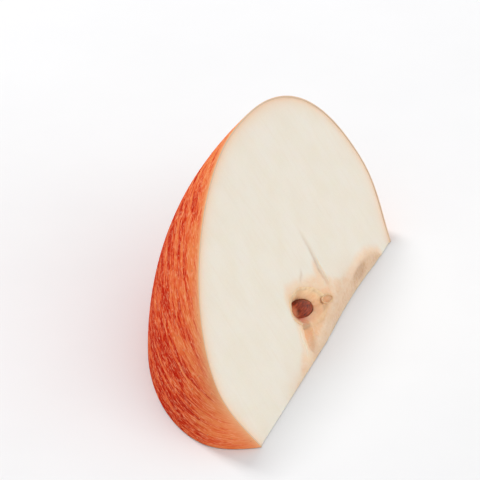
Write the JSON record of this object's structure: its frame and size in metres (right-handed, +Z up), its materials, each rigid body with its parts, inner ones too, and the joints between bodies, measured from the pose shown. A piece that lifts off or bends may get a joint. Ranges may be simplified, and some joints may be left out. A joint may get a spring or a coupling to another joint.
{
  "type": "apple slice",
  "caption": "Lengthwise wedge of fresh apple with the peel on, lying on a cut face, with the core, an open seed cell and its pip showing in the upper cut face.",
  "frame": {"origin": "centre of the bounding box on the surface that the slice lies on, in the plane of its lower cut face", "axes": "+Z up, square to the lower cut face; +Y along the core edge from the calyx end to the stem end; +X from the peel towards the core edge"},
  "size_m": [0.0264, 0.0676, 0.0257],
  "materials": {
    "flesh": "moist pale cream flesh with a fine grain, warmer next to the peel and tan round the seed cell",
    "peel": "smooth satin peel, orange red with darker red lengthwise streaks, more orange towards the stem end",
    "core": "thin tan parchment of the seed cell and tan strands beside it, satin",
    "pip": "smooth glossy dark reddish brown seed coat"
  },
  "bodies": {
    "root": {"slice": "flesh", "pip": "pip"}
  },
  "joints": []
}
